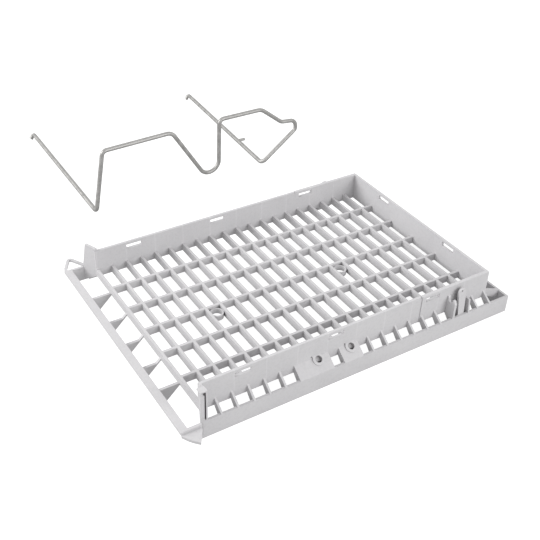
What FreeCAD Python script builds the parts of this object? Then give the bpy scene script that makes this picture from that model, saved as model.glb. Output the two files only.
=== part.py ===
"""Slatted nest base tray in grey moulded plastic, with its loose wire bail. Millimetres.

Frame: +X runs along the tray from its entrance sill to its closed end, +Y points to the rear
long side and +Z is up. The origin is the centre of the tray on the surface that it stands on.
Each piece of a long side is made on the +Y side and mirrored in y = 0 for the front. The two
sides differ in a few sizes only: the rear skirt is shallow, and the front has a flat wing, a
lower flared plate and a taller door post where the rear has an open ear and a hidden post.
The bail stands on the same surface, behind the tray.
"""
import math
import os

import FreeCAD, Part

V = FreeCAD.Vector

# Grate: cross ribs span the tray's width, long ribs run along it.
pitch = 16.0
cross_rib_count = 20
long_pitch = 36.4
long_rib_count = 5
rib = 2.7
grate_top = 28.0
grate_bottom = 20.0

# Walls.
wall = 2.6
inner_half = 107.4
wall_top = 50.0
end_inner = 158.9
panel_joint = 76.8
panel_step = 0.8
joint_notch = 1.4
wall_dimples = (-47.7, -11.2)
wall_dimple_z = 29.8
wall_dimple_radius = 0.8

# Slots through the walls, each as long as one opening of the grate.
slot_length = 16.8
slot_low = 42.4
slot_high = 47.0
slot_ribs = (2, 8, 15)
slot_offset = 1.8
end_slot_y = 53.2

# Skirt that the tray stands on, and the sloped ledge between it and the walls.
skirt_half = 122.2
skirt_end = 184.3
skirt_left = -164.2
skirt_top = 19.0
skirt = 2.4
front_skirt_foot = 0.0
rear_skirt_foot = 10.0
ledge_rib = 2.0
ledge_rib_foot = 10.0
ledge_rib_count = 20
end_ledge_pitch = 18.2

# Screw blocks in the ledge. A block starts at a ledge rib's right face.
wide_block_rib = 6
wide_block_right = -29.4
wide_screw_x = -41.4
narrow_block_rib = 9
narrow_block_right = 3.2
narrow_screw_x = -5.6
block_skin = 2.0
screw_y = 112.2
collar_radius = 5.8
collar_rise = 1.2
screw_bore = 3.3
screw_depth = 2.2

# Cradle for the bail's arm, and the snap finger beside it.
cradle_rib = 17
cradle_plate = 2.6
seat_out = 5.4
seat_radius = 2.6
seat_bottom = 34.2
cradle_shoulder = 41.2
cradle_lip = 39.6
finger_x = 122.4
finger_foot_width = 6.8
finger_head_width = 9.2
finger_thick = 2.2
finger_foot = 10.0
finger_top = 46.8
finger_lean = 3.0
finger_round = 4.0
finger_dimple = 1.0
finger_dimple_x = 121.6
finger_dimple_drop = 1.8
guard_left = 129.4
guard_plate = 2.0
guard_top = 34.0
guard_out = 120.4

# Entrance end: sill, its cheeks and gussets, posts, flared plates and ears.
sill_left = -186.6
sill_width = 7.4
sill_top = 22.9
sill_plate = 2.4
sill_web = 2.2
sill_web_foot = 14.0
gusset_drop = 0.8
entrance_floor = 7.4
entrance_floor_left = -176.4
sill_cut_slope = 1.3
cheek_half = 127.4
cheek_plate = 2.5
cheek_right = -166.7
gusset = 2.7
gusset_top = 17.6
plate_inner = (-159.2, 107.8)
plate_outer = (-166.7, 125.0)
flare_plate = 2.4
front_flare_top = 50.0
rear_flare_top = 52.6
flare_shoulder = 28.0
flare_taper = 4.8
flare_nub = 2.4
post_right = -158.7
post_outer = 122.2
post_bottom = 19.0
front_post_top = 52.8
rear_post_top = 46.8
post_groove = (-161.6, -160.1)
post_groove_depth = 3.4
post_groove_foot = 1.6
post_cap = 1.4
post_cap_left = -165.5
post_cap_depth = 6.4
post_step = 4.4
wing_line = ((-186.0, 127.4), (-186.0, 128.7), (-182.7, 134.7), (-180.0, 138.2), (-176.0, 142.6),
             (-168.0, 130.5), (-167.2, 127.4))
wing_top = 20.4
wing_plate = 2.7
ear_bar = 2.7
ear_line = ((-184.2, 127.4), (-183.9, 130.9), (-174.5, 147.0), (-165.4, 130.7), (-166.2, 127.4))
ear_bend = 2.4

# Rings in the grate, each as wide as one of its openings.
boss_ribs = (4, 13)
boss_top = 25.4
boss_wall = 1.5

# Bail: one bent wire with a short stub welded to its right arm. Its profile stands in an
# upright plane that is turned a little about the vertical.
wire = 5.0
bail_y = 250.5
bail_turn = 0.033
hook_z = 7.3
hook_leg = 7.0
hook_lean = math.radians(36.9)
left_hook_place = (-103.2, 457.2)
right_hook_place = (132.6, 470.6)
hook_bend = 3.8
profile_line = ((-103.2, 2.5), (-89.9, 77.4), (-2.4, 78.1), (60.9, -21.3), (61.7, 79.0),
                (121.9, 77.9), (152.7, 53.7), (174.2, 51.1), (175.6, 38.6), (125.4, 2.5))
profile_bends = (6.4, 6.4, 12.0, 13.8, 6.4, 16.0, 12.0, 9.0, 6.4, 6.4)
stub_wire = 3.6
stub_x = (128.0, 138.0)
stub_y = 320.0

outer_half = inner_half + wall
end_outer = end_inner + wall
grate_left = -cross_rib_count / 2 * pitch
ledge_slope = (grate_top - skirt_top) / (skirt_half - outer_half)
flare_slope = (plate_outer[0] - plate_inner[0]) / (plate_outer[1] - plate_inner[1])
flare_face = plate_inner[0] - plate_inner[1] * flare_slope + flare_plate * math.hypot(1, flare_slope)


def box(x0, x1, y0, y1, z0, z1):
    return Part.makeBox(x1 - x0, y1 - y0, z1 - z0, V(x0, y0, z0))


def prism(points, reach):
    """A straight prism: a closed outline, given as vectors, pushed along a vector."""
    return Part.Face(Part.makePolygon(list(points) + [points[0]])).extrude(reach)


def prism_x(outline, x0, x1):
    """A (y, z) outline from x0 to x1."""
    return prism([V(x0, y, z) for y, z in outline], V(x1 - x0, 0, 0))


def prism_y(outline, y0, y1):
    """An (x, z) outline from y0 to y1."""
    return prism([V(x, y0, z) for x, z in outline], V(0, y1 - y0, 0))


def mirrored(shape):
    return shape.mirror(V(0, 0, 0), V(0, 1, 0))


def fused(shapes):
    return shapes[0].multiFuse(shapes[1:]).removeSplitter()


def rounded_path(points, radii):
    """A wire through the points, with an arc of the given radius at each inner corner."""
    edges = []
    start = points[0]
    for before, corner, after, radius in zip(points, points[1:], points[2:], radii):
        back = (before - corner).normalize()
        ahead = (after - corner).normalize()
        half_angle = back.getAngle(ahead) / 2
        tangent = radius / math.tan(half_angle)
        middle = (back + ahead).normalize()
        arc_start = corner + back * tangent
        arc_end = corner + ahead * tangent
        arc_middle = corner + middle * (radius / math.sin(half_angle) - radius)
        edges.append(Part.makeLine(start, arc_start))
        edges.append(Part.Arc(arc_start, arc_middle, arc_end).toShape())
        start = arc_end
    edges.append(Part.makeLine(start, points[-1]))
    return Part.Wire(edges)


def rib_x(number):
    """The left face of a cross rib."""
    return grate_left + number * pitch


def ledge_z(y):
    """The height of the sloped ledge at a distance y from the tray's centre line."""
    return grate_top - (y - outer_half) * ledge_slope


def ledge_outline():
    """The ledge's section between wall and skirt."""
    inside = skirt_half - skirt
    return [(outer_half, grate_top), (skirt_half, skirt_top), (inside, skirt_top),
            (inside, ledge_rib_foot), (outer_half, grate_bottom)]


def floor_grate():
    bars = []
    for number in range(cross_rib_count):
        x = rib_x(number)
        bars.append(box(x, x + rib, -inner_half, inner_half, grate_bottom, grate_top))
    for number in range(long_rib_count):
        y = (number - (long_rib_count - 1) / 2) * long_pitch
        bars.append(box(grate_left, end_inner, y - rib / 2, y + rib / 2, grate_bottom, grate_top))
    return fused(bars)


def grate_bosses():
    radius = (pitch - rib) / 2
    rings = []
    for number in boss_ribs:
        centre = V(rib_x(number) + rib + radius, -rib / 2 - radius, grate_bottom)
        height = boss_top - grate_bottom
        ring = Part.makeCylinder(radius, height, centre)
        rings.append(ring.cut(Part.makeCylinder(radius - boss_wall, height, centre)))
    return Part.makeCompound(rings)


def flared_plate(top):
    """The plate at the side of the entrance, turned outward from the wall's end."""
    inner = V(plate_inner[0], plate_inner[1], 0)
    outer = V(plate_outer[0], plate_outer[1], 0)
    along = outer - inner
    length = along.Length
    along.normalize()
    across = V(along.y, -along.x, 0)
    outline = [(0, grate_bottom), (length, entrance_floor), (length, flare_shoulder),
               (length - flare_taper, top), (0, top)]
    plate = prism([inner + along * s + V(0, 0, z) for s, z in outline], across * flare_plate)
    if top == wall_top:
        return plate
    nub_z = top - flare_nub
    nub = prism([inner + along * s + V(0, 0, z) for s, z in
                 ((0, nub_z), (flare_nub, nub_z), (flare_nub, top), (0, top))],
                across * -flare_nub / 2)
    return fused([plate, nub])


def flare_x(y):
    """Where the flared plate's right face is, at a distance y from the centre line."""
    return flare_face + flare_slope * y


def wall_slots(y0, y1):
    cuts = []
    for number in slot_ribs:
        x = rib_x(number) + slot_offset
        cuts.append(box(x, x + slot_length, y0, y1, slot_low, slot_high))
    return cuts


def wall_panel():
    """The rear long wall from the entrance to the joint before the clip panel."""
    notch = box(panel_joint - joint_notch, panel_joint, inner_half, outer_half + panel_step,
                wall_top - joint_notch, wall_top)
    dimples = [Part.makeCylinder(wall_dimple_radius, wall / 2,
                                 V(x, outer_half - wall / 2, wall_dimple_z), V(0, 1, 0))
               for x in wall_dimples]
    solid = box(grate_left, panel_joint, inner_half, outer_half, grate_bottom, wall_top)
    scallops = [screw_hole(x, screw_bore, screw_depth) for x in (wide_screw_x, narrow_screw_x)]
    return solid.cut(wall_slots(inner_half, outer_half) + dimples + scallops
                     + [notch, flared_plate(rear_flare_top)])


def clip_panel():
    """The rear wall's last stretch, a little thicker, behind the cradle and the finger."""
    outside = outer_half + panel_step
    solid = box(panel_joint, end_outer, inner_half, outside, grate_bottom, wall_top)
    return solid.cut(wall_slots(inner_half, outside))


def end_wall():
    solid = box(end_inner, end_outer, -inner_half, inner_half, grate_bottom, wall_top)
    cuts = []
    for side in (-1, 1):
        y = side * end_slot_y
        cuts.append(box(end_inner, end_outer, y - slot_length / 2, y + slot_length / 2,
                        slot_low, slot_high))
    return solid.cut(cuts)


def side_skirt(foot):
    solid = box(skirt_left, skirt_end, skirt_half - skirt, skirt_half, foot, skirt_top)
    return solid.cut(flared_plate(rear_flare_top))


def end_skirt():
    inside = skirt_half - skirt
    return box(skirt_end - skirt, skirt_end, -inside, inside, 0, skirt_top)


def ledge_ribs():
    """The thin ribs under the rear ledge, clear of the screw blocks, cradle and finger."""
    ribs = []
    for number in range(1, ledge_rib_count + 1):
        right = rib_x(number)
        in_wide_block = wide_block_rib < number and right < wide_block_right
        in_narrow_block = narrow_block_rib < number and right < narrow_block_right
        if in_wide_block or in_narrow_block or number in (cradle_rib, cradle_rib + 1):
            continue
        piece = prism_x(ledge_outline(), right - ledge_rib, right)
        ribs.append(piece.cut(clip_panel()))
    return Part.makeCompound(ribs)


def end_ledge_ribs():
    inside = skirt_end - skirt
    outline = [(end_outer, grate_top), (skirt_end, skirt_top), (inside, skirt_top),
               (inside, ledge_rib_foot), (end_outer, grate_bottom)]
    side_count = int(inner_half / end_ledge_pitch)
    centres = [number * end_ledge_pitch for number in range(-side_count, side_count + 1)]
    centres = [-outer_half + ledge_rib / 2] + centres + [outer_half - ledge_rib / 2]
    return Part.makeCompound([prism_y(outline, y - ledge_rib / 2, y + ledge_rib / 2)
                              for y in centres])


def ledge_square():
    """The direction square to the rear ledge's slope."""
    return V(0, ledge_slope, 1).normalize()


def screw_hole(screw_x, radius, depth):
    """A cylinder square to the rear ledge, from its collar's rim to a depth below the slope."""
    square = ledge_square()
    foot = V(screw_x, screw_y, ledge_z(screw_y)) - square * depth
    return Part.makeCylinder(radius, depth + collar_rise, foot, square)


def screw_block(left, right, screw_x):
    """A closed hollow block in the ledge, with a collared hole square to the ledge's slope."""
    body = prism_x(ledge_outline(), left, right)
    inside = skirt_half - skirt - block_skin
    wall_side = outer_half + block_skin
    drop = block_skin * math.hypot(1, ledge_slope)
    hollow = prism_x([(wall_side, ledge_z(wall_side) - drop), (inside, ledge_z(inside) - drop),
                      (inside, ledge_rib_foot + 2 * block_skin),
                      (wall_side, grate_bottom + block_skin / 2)],
                     left + block_skin, right - block_skin)
    collar = screw_hole(screw_x, collar_radius, block_skin)
    bore = screw_hole(screw_x, screw_bore, screw_depth)
    behind = box(left, right, 0, outer_half, 0, wall_top)
    return fused([body, collar]).cut([hollow, bore, behind])


def wide_screw_block():
    return screw_block(rib_x(wide_block_rib), wide_block_right, wide_screw_x)


def narrow_screw_block():
    return screw_block(rib_x(narrow_block_rib), narrow_block_right, narrow_screw_x)


def arm_cradle():
    """The plate with a round seat for one arm of the bail."""
    left = rib_x(cradle_rib) - cradle_plate
    seat_y = outer_half + seat_out
    seat_z = seat_bottom + seat_radius
    inside = skirt_half - skirt
    outline = [(outer_half, grate_bottom), (outer_half, cradle_shoulder),
               (seat_y - seat_radius - 0.8, cradle_shoulder - 1.2),
               (seat_y - seat_radius, cradle_shoulder - 2.6),
               (seat_y - seat_radius, seat_z), (seat_y + seat_radius, seat_z),
               (seat_y + seat_radius, cradle_lip - 1.0), (seat_y + seat_radius + 0.8, cradle_lip),
               (skirt_half - 1.6, cradle_lip - 0.6), (skirt_half, cradle_lip - 3.8),
               (skirt_half, skirt_top), (inside, skirt_top), (inside, ledge_rib_foot)]
    plate = prism_x(outline, left, left + cradle_plate)
    seat = Part.makeCylinder(seat_radius, cradle_plate, V(left, seat_y, seat_z), V(1, 0, 0))
    return plate.cut([seat, clip_panel()])


def snap_finger():
    """The springy finger that holds the bail's arm in the cradle."""
    outside = skirt_half - skirt
    tip = outside - finger_lean
    side = [(outside, finger_foot), (outside, skirt_top), (tip, finger_top),
            (tip - finger_thick, finger_top), (outside - finger_thick, skirt_top),
            (outside - finger_thick, finger_foot)]
    foot = finger_foot_width / 2
    head = finger_head_width / 2
    blade = prism_x(side, finger_x - head, finger_x + head)
    front = prism_y([(finger_x - foot, finger_foot), (finger_x + foot, finger_foot),
                     (finger_x + head, finger_top - finger_round), (finger_x + head, finger_top),
                     (finger_x - head, finger_top), (finger_x - head, finger_top - finger_round)],
                    tip - finger_thick, outside)
    blade = blade.common(front)
    corners = [edge for edge in blade.Edges if is_finger_corner(edge)]
    blade = blade.makeFillet(finger_round - 0.1, corners)
    dimple = Part.makeCylinder(finger_dimple, 1.0,
                               V(finger_dimple_x, tip + 0.5, finger_top - finger_dimple_drop),
                               V(0, -1, 0))
    return blade.cut(dimple)


def is_finger_corner(edge):
    """True for the two short edges that run through the blade at its top corners."""
    box_of = edge.BoundBox
    return box_of.XLength < 0.01 and box_of.ZMin > finger_top - 0.01


def finger_guard():
    """The tall plate beyond the finger, with the floor of the pocket behind the finger."""
    inside = skirt_half - skirt
    outline = [(outer_half, grate_bottom), (outer_half, guard_top), (guard_out, guard_top),
               (skirt_half, skirt_top), (inside, skirt_top), (inside, ledge_rib_foot)]
    plate = prism_x(outline, guard_left, guard_left + guard_plate)
    floor = prism_x([(outer_half, grate_bottom), (inside, ledge_rib_foot),
                     (inside, ledge_rib_foot - rib), (outer_half, grate_bottom - rib)],
                    rib_x(cradle_rib), guard_left + guard_plate)
    under = box(rib_x(cradle_rib), guard_left + guard_plate, inner_half, outer_half + panel_step,
                0, grate_bottom)
    return fused([plate, floor]).cut([clip_panel(), under, snap_finger()])


def sill_cheek():
    """The upright plate at one end of the sill, cut away below the sill's outer edge."""
    outline = [(sill_left, sill_top - sill_plate), (sill_left, sill_top),
               (cheek_right, sill_top), (cheek_right, entrance_floor),
               (entrance_floor_left, entrance_floor)]
    plate = prism_y(outline, cheek_half - cheek_plate, cheek_half)
    return plate.cut(flared_plate(rear_flare_top))


def entrance_sill():
    """The flat rim that closes the entrance end, with the short web under its inner edge."""
    inside = cheek_half - cheek_plate
    right = sill_left + sill_width
    rim = box(sill_left, right, -inside, inside, sill_top - sill_plate, sill_top)
    web = box(right - sill_web, right, -inside, inside, sill_web_foot, sill_top - sill_plate)
    return fused([rim, web])


def sill_gussets():
    """The plates that carry the sill, one in line with each long rib."""
    right = grate_left
    left = sill_left + sill_width
    top = sill_top - gusset_drop
    bevel_left = right - (grate_bottom - entrance_floor)
    left_foot = entrance_floor + (entrance_floor_left - left) * sill_cut_slope
    under = [(right, grate_bottom), (bevel_left, entrance_floor),
             (entrance_floor_left, entrance_floor), (left, left_foot)]
    full = under + [(left, top), (right, top)]
    stepped = under + [(left, gusset_top), (right - (top - gusset_top), gusset_top), (right, top)]
    pieces = []
    for number in range(long_rib_count):
        y = (number - (long_rib_count - 1) / 2) * long_pitch
        outline = full if number in (0, long_rib_count - 1) else stepped
        pieces.append(prism_y(outline, y - gusset / 2, y + gusset / 2))
    return Part.makeCompound(pieces)


def door_post(top, cap_left):
    """The grooved post that guides a slide-in door, with its cap, against the flared plate."""
    corner = (post_right - flare_face) / flare_slope
    post = prism([V(post_right, corner, post_bottom), V(post_right, post_outer, post_bottom),
                  V(flare_x(post_outer), post_outer, post_bottom)],
                 V(0, 0, top - post_cap - post_bottom))
    groove_left, groove_right = post_groove
    groove = box(groove_left, groove_right, post_outer - post_groove_depth, post_outer,
                 post_bottom + post_groove_foot, top)
    step = box(skirt_left, groove_right, corner, post_outer, top - post_step, top)
    cap = box(cap_left, post_right, post_outer - post_cap_depth, post_outer, top - post_cap, top)
    plate = flared_plate(max(wall_top, top - post_cap))
    return fused([post.cut([groove, step]), cap]).cut(plate)


def corner_wing():
    """The flat plate that stands out from the cheek at the front entrance corner."""
    return prism([V(x, y, wing_top - wing_plate) for x, y in wing_line], V(0, 0, wing_plate))


def corner_ear():
    """The thin flat loop at the rear entrance corner."""
    middle = sill_top - sill_plate / 2
    line = [V(x, y, middle) for x, y in ear_line]
    path = rounded_path(line, [ear_bend] * (len(line) - 2))
    along = (line[1] - line[0]).normalize()
    across = V(along.y, -along.x, 0) * (ear_bar / 2)
    rise = V(0, 0, sill_plate / 2)
    corners = [line[0] + across + rise, line[0] - across + rise,
               line[0] - across - rise, line[0] + across - rise]
    sweep = Part.BRepOffsetAPI.MakePipeShell(path)
    sweep.setBiNormalMode(V(0, 0, 1))
    sweep.add(Part.makePolygon(corners + [corners[0]]))
    sweep.build()
    sweep.makeSolid()
    loop = sweep.shape()
    beyond = box(sill_left - pitch, grate_left, 0, cheek_half, 0, wall_top)
    return loop.cut(beyond)


def profile_point(x, z):
    return V(x, bail_y + x * bail_turn, z)


def bail_path():
    """The wire's centre line, from the left hook end round to the right one."""
    front = [profile_point(x, z) for x, z in profile_line]
    leg = V(-math.sin(hook_lean), 0, -math.cos(hook_lean)) * hook_leg
    left_hook = V(*left_hook_place, hook_z)
    right_hook = V(*right_hook_place, hook_z)
    points = [left_hook + leg, left_hook] + front + [right_hook, right_hook + leg]
    radii = [hook_bend, *profile_bends, hook_bend]
    return points, rounded_path(points, radii)


def bail_wire():
    points, path = bail_path()
    section = Part.Wire(Part.makeCircle(wire / 2, points[0], points[1] - points[0]))
    return path.makePipeShell([section], True, False)


def stop_pin():
    """The stub on the right arm, ground to fit the wire's side."""
    foot = profile_point(*profile_line[-1])
    hook = V(*right_hook_place, hook_z)
    along = (stub_y - foot.y) / (hook.y - foot.y)
    start = V(stub_x[0], stub_y, foot.z + (hook.z - foot.z) * along)
    stub = Part.makeCylinder(stub_wire / 2, stub_x[1] - stub_x[0], start, V(1, 0, 0))
    return stub.cut(bail_wire())


nodes = {
    "floor_grate": floor_grate(),
    "grate_bosses": grate_bosses(),
    "end_wall": end_wall(),
    "end_skirt": end_skirt(),
    "end_ledge_ribs": end_ledge_ribs(),
    "entrance_sill": entrance_sill(),
    "sill_gussets": sill_gussets(),
    "bail_wire": bail_wire(),
    "stop_pin": stop_pin(),
    "rear_skirt": side_skirt(rear_skirt_foot),
    "front_skirt": mirrored(side_skirt(front_skirt_foot)),
    "rear_flared_plate": flared_plate(rear_flare_top),
    "front_flared_plate": mirrored(flared_plate(front_flare_top)),
    "rear_door_post": door_post(rear_post_top, post_groove[0]),
    "front_door_post": mirrored(door_post(front_post_top, post_cap_left)),
    "rear_corner_ear": corner_ear(),
    "front_corner_wing": mirrored(corner_wing()),
}
paired = {
    "wall_panel": wall_panel(),
    "clip_panel": clip_panel(),
    "ledge_ribs": ledge_ribs(),
    "wide_screw_block": wide_screw_block(),
    "narrow_screw_block": narrow_screw_block(),
    "arm_cradle": arm_cradle(),
    "snap_finger": snap_finger(),
    "finger_guard": finger_guard(),
    "sill_cheek": sill_cheek(),
}
for name, rear in paired.items():
    nodes[f"rear_{name}"] = rear
    nodes[f"front_{name}"] = mirrored(rear)

os.makedirs("parts", exist_ok=True)
for name, shape in nodes.items():
    shape.exportStep(f"parts/{name}.step")
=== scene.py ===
"""Looks for the slatted nest tray and its wire bail. Metres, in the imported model's frame."""
import math

import bpy
from mathutils import Matrix, Vector

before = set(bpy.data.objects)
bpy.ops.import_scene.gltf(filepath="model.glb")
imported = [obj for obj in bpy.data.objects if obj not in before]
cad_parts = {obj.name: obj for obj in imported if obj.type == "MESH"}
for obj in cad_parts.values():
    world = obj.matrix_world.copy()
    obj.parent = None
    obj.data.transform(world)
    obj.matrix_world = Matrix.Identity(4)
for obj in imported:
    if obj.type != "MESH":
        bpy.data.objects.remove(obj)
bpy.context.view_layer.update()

# Camera.
camera_place = Vector((-0.3995, -0.5718, 0.5421))
camera_aim = Vector((-0.0084, 0.0222, 0.0280))
camera_roll = math.radians(2.42)
camera_lens = 57.84
camera_sensor = 36.0
camera_nearest = 0.01

# Studio. The lamps aim at the tray's centre, and their power is in watts.
white = (1.0, 1.0, 1.0)
surround_strength = 0.76
lamp_size = 1.3
rear_lamp_place = Vector((-1.75, 0.9, 1.05))
rear_lamp_power = 29.0
front_lamp_place = Vector((0.75, -1.9, 0.85))
front_lamp_power = 18.0

# Floor. It glows more to the camera than it does to the tray.
floor_size = 12
floor_drop = 0.0002
floor_dark = (0.36, 0.36, 0.36)
floor_light = (0.40, 0.40, 0.40)
floor_roughness = 0.9
floor_glow = 0.12
floor_glow_seen = 0.86

# Moulded plastic.
plastic_dark = (0.608, 0.600, 0.612)
plastic_light = (0.645, 0.637, 0.648)
plastic_specular = 0.4
plastic_smoothest = 0.42
plastic_roughest = 0.55
speckle_shade = (0.93, 0.93, 0.93)
painted_sink_light = (1.06, 1.06, 1.06)

# Rounding of the moulded edges.
soft_edge = 0.00028
soft_edge_segments = 3
sharp_angle = math.radians(40)

# Painted shade in the tray's tight pockets, where other surfaces crowd close. A place more
# open than this has none.
pocket_reach = 0.010
pocket_samples = 8
pocket_open = 0.55
pocket_painted_shade = (0.36, 0.34, 0.345)

# Painted light: the moulded walls get a faint lighter line behind every second cross rib of
# the grate, where sink marks catch the light.
sink_pitch = 0.032
sink_start = -0.15865
sink_half_width = 0.0006

# Plated wire.
wire_dark = (0.38, 0.375, 0.365)
wire_light = (0.52, 0.513, 0.500)
wire_metal = 0.7
wire_smoothest = 0.38
wire_roughest = 0.58

# A mottle runs from its dark end to its light end between these two values of its noise.
mottle_start = 0.3
mottle_end = 0.7

wire_nodes = ("bail_wire", "stop_pin")
wall_nodes = ("front_wall_panel", "rear_wall_panel", "front_clip_panel", "rear_clip_panel")
plastic_nodes = [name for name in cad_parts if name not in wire_nodes + wall_nodes]


def node_tree(name):
    """A new material with its Principled shader; returns material, tree and shader."""
    material = bpy.data.materials.new(name)
    material.use_nodes = True
    return material, material.node_tree, material.node_tree.nodes["Principled BSDF"]


def object_place(tree):
    """Where a point of the surface is, in its object's own coordinates."""
    return tree.nodes.new("ShaderNodeTexCoord").outputs["Object"]


def noise(tree, place, scale, detail=4.0):
    """A noise texture's value; the scale is in blotches to the metre."""
    texture = tree.nodes.new("ShaderNodeTexNoise")
    texture.inputs["Scale"].default_value = scale
    texture.inputs["Detail"].default_value = detail
    texture.inputs["Roughness"].default_value = 0.55
    tree.links.new(place, texture.inputs["Vector"])
    return texture.outputs["Fac"]


def ramp(tree, value, first, last):
    """A colour that runs from one (position, colour) stop to another."""
    node = tree.nodes.new("ShaderNodeValToRGB")
    for stop, (position, colour) in zip(node.color_ramp.elements, (first, last)):
        stop.position = position
        stop.color = (*colour, 1)
    tree.links.new(value, node.inputs["Fac"])
    return node.outputs["Color"]


def remap(tree, value, low, high, start=0.0, end=1.0):
    """The value, with its range from start to end moved to the range from low to high."""
    node = tree.nodes.new("ShaderNodeMapRange")
    node.inputs["From Min"].default_value = start
    node.inputs["From Max"].default_value = end
    node.inputs["To Min"].default_value = low
    node.inputs["To Max"].default_value = high
    tree.links.new(value, node.inputs["Value"])
    return node.outputs["Result"]


def bump(tree, height, strength, distance, under=None):
    """A normal from a height, laid over the normal under it if there is one."""
    node = tree.nodes.new("ShaderNodeBump")
    node.inputs["Strength"].default_value = strength
    node.inputs["Distance"].default_value = distance
    tree.links.new(height, node.inputs["Height"])
    if under is not None:
        tree.links.new(under, node.inputs["Normal"])
    return node.outputs["Normal"]


def arithmetic(tree, operation, value, number):
    """A maths node that takes a socket's value and a number."""
    node = tree.nodes.new("ShaderNodeMath")
    node.operation = operation
    tree.links.new(value, node.inputs[0])
    node.inputs[1].default_value = number
    return node.outputs["Value"]


def tint(tree, colour, factor, shade):
    """The colour multiplied by a shade, as far as the factor says."""
    node = tree.nodes.new("ShaderNodeMix")
    node.data_type = "RGBA"
    node.blend_type = "MULTIPLY"
    tree.links.new(factor, node.inputs[0])
    tree.links.new(colour, node.inputs[6])
    node.inputs[7].default_value = (*shade, 1)
    return node.outputs[2]


def painted_sink_light_mask(tree, place):
    """One on the thin upright lines of painted light that the ribs leave in a wall, and nought
    elsewhere.
    """
    split = tree.nodes.new("ShaderNodeSeparateXYZ")
    tree.links.new(place, split.inputs["Vector"])
    along = arithmetic(tree, "SUBTRACT", split.outputs["X"], sink_start)
    wrapped = arithmetic(tree, "PINGPONG", along, sink_pitch / 2)
    return remap(tree, wrapped, 1.0, 0.0, sink_half_width * 0.5, sink_half_width * 1.5)


def painted_pocket_shade_mask(tree):
    """Where the colour gets painted shade: one where other surfaces crowd in, falling to
    nought in the open.
    """
    pocket = tree.nodes.new("ShaderNodeAmbientOcclusion")
    pocket.inputs["Distance"].default_value = pocket_reach
    pocket.samples = pocket_samples
    return remap(tree, pocket.outputs["AO"], 1.0, 0.0, 0.0, pocket_open)


def moulded_plastic(name, with_painted_lines=False):
    """Light grey polypropylene: satin, faintly mottled, with a fine spark-eroded grain,
    painted shade in tight pockets and, when lined, painted light lines.
    """
    material, tree, shader = node_tree(name)
    place = object_place(tree)
    flow = noise(tree, place, 22.0)
    colour = ramp(tree, flow, (mottle_start, plastic_dark), (mottle_end, plastic_light))
    speckle = noise(tree, place, 420.0, detail=3.0)
    colour = tint(tree, colour, remap(tree, speckle, 0.0, 1.0, 0.45, 0.75), speckle_shade)
    # Painted shade: the colour darkens where other surfaces crowd in.
    colour = tint(tree, colour, painted_pocket_shade_mask(tree), pocket_painted_shade)
    if with_painted_lines:
        # Painted light: faint lighter upright lines on the walls behind the ribs.
        colour = tint(tree, colour, painted_sink_light_mask(tree, place), painted_sink_light)
    tree.links.new(colour, shader.inputs["Base Color"])
    grain = noise(tree, place, 1900.0, detail=2.0)
    sink = noise(tree, place, 55.0, detail=2.0)
    rough = remap(tree, flow, plastic_smoothest, plastic_roughest, mottle_start, mottle_end)
    tree.links.new(rough, shader.inputs["Roughness"])
    shader.inputs["Specular IOR Level"].default_value = plastic_specular
    fine = bump(tree, grain, 0.10, 0.0002)
    normal = bump(tree, sink, 0.12, 0.0006, under=fine)
    tree.links.new(normal, shader.inputs["Normal"])
    return material


def plated_wire():
    """Zinc-plated drawn steel wire: grey, dull, with a fine grit and cloudy plating."""
    material, tree, shader = node_tree("plated_wire")
    place = object_place(tree)
    cloud = noise(tree, place, 160.0)
    colour = ramp(tree, cloud, (mottle_start, wire_dark), (mottle_end, wire_light))
    tree.links.new(colour, shader.inputs["Base Color"])
    rough = remap(tree, cloud, wire_smoothest, wire_roughest, mottle_start, mottle_end)
    tree.links.new(rough, shader.inputs["Roughness"])
    shader.inputs["Metallic"].default_value = wire_metal
    grit = noise(tree, place, 1400.0, detail=3.0)
    tree.links.new(bump(tree, grit, 0.25, 0.0002), shader.inputs["Normal"])
    return material


def dress(names, material):
    """Gives CAD nodes their material."""
    for name in names:
        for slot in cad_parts[name].material_slots:
            slot.material = material


def soften(names):
    """Rounds the sharp edges of moulded CAD nodes."""
    for name in names:
        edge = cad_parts[name].modifiers.new("soft_edges", "BEVEL")
        edge.width = soft_edge
        edge.segments = soft_edge_segments
        edge.limit_method = "ANGLE"
        edge.angle_limit = sharp_angle
        edge.harden_normals = True


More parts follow.
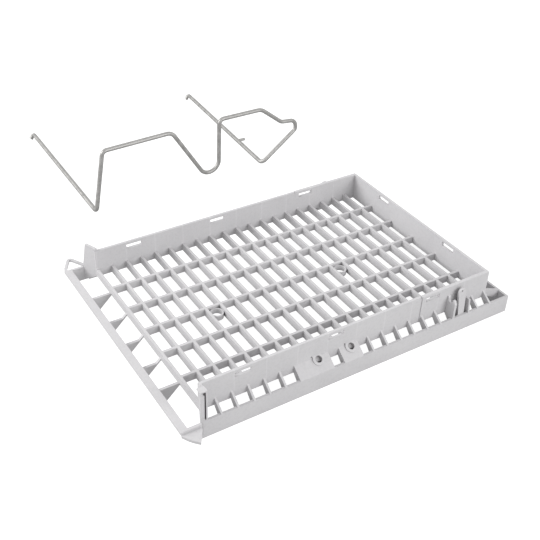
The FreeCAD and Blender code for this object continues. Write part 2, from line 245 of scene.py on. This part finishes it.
def pale_floor():
    """A pale back-lit table top, bright enough to leave only faint contact shadows."""
    material, tree, shader = node_tree("pale_floor")
    mottle = noise(tree, object_place(tree), 3.0)
    colour = ramp(tree, mottle, (0.0, floor_dark), (1.0, floor_light))
    tree.links.new(colour, shader.inputs["Base Color"])
    shader.inputs["Roughness"].default_value = floor_roughness
    shader.inputs["Specular IOR Level"].default_value = 0.0
    shader.inputs["Emission Color"].default_value = (*white, 1)
    seen = tree.nodes.new("ShaderNodeLightPath").outputs["Is Camera Ray"]
    glow = remap(tree, seen, floor_glow, floor_glow_seen)
    tree.links.new(glow, shader.inputs["Emission Strength"])
    bpy.ops.mesh.primitive_plane_add(size=floor_size, location=(0, 0, -floor_drop))
    floor = bpy.context.object
    floor.name = "floor"
    floor.data.materials.append(material)


def camera():
    """The camera, high up off the tray's near entrance corner."""
    data = bpy.data.cameras.new("camera")
    data.lens = camera_lens
    data.sensor_width = camera_sensor
    data.clip_start = camera_nearest
    eye = bpy.data.objects.new("camera", data)
    bpy.context.collection.objects.link(eye)
    turn = (camera_aim - camera_place).to_track_quat("-Z", "Y").to_matrix().to_4x4()
    roll = Matrix.Rotation(camera_roll, 4, "Z")
    eye.matrix_world = Matrix.Translation(camera_place) @ turn @ roll
    bpy.context.scene.camera = eye


def soft_lamp(name, place, power):
    """A round lamp that aims at the centre of the tray."""
    data = bpy.data.lights.new(name, "AREA")
    data.shape = "DISK"
    data.size = lamp_size
    data.energy = power
    lamp = bpy.data.objects.new(name, data)
    bpy.context.collection.objects.link(lamp)
    lamp.location = place
    lamp.rotation_euler = (-place).to_track_quat("-Z", "Y").to_euler()


def studio():
    """An even white surround, with soft lamps at the rear left and in front."""
    world = bpy.data.worlds.new("studio")
    world.use_nodes = True
    sky = world.node_tree.nodes["Background"]
    sky.inputs["Color"].default_value = (*white, 1)
    sky.inputs["Strength"].default_value = surround_strength
    bpy.context.scene.world = world
    soft_lamp("rear_left_light", rear_lamp_place, rear_lamp_power)
    soft_lamp("front_light", front_lamp_place, front_lamp_power)
    bpy.context.scene.view_settings.view_transform = "Standard"


camera()
studio()
pale_floor()
dress(plastic_nodes, moulded_plastic("moulded_plastic"))
dress(wall_nodes, moulded_plastic("moulded_wall_with_painted_light", with_painted_lines=True))
dress(wire_nodes, plated_wire())
soften([*plastic_nodes, *wall_nodes])
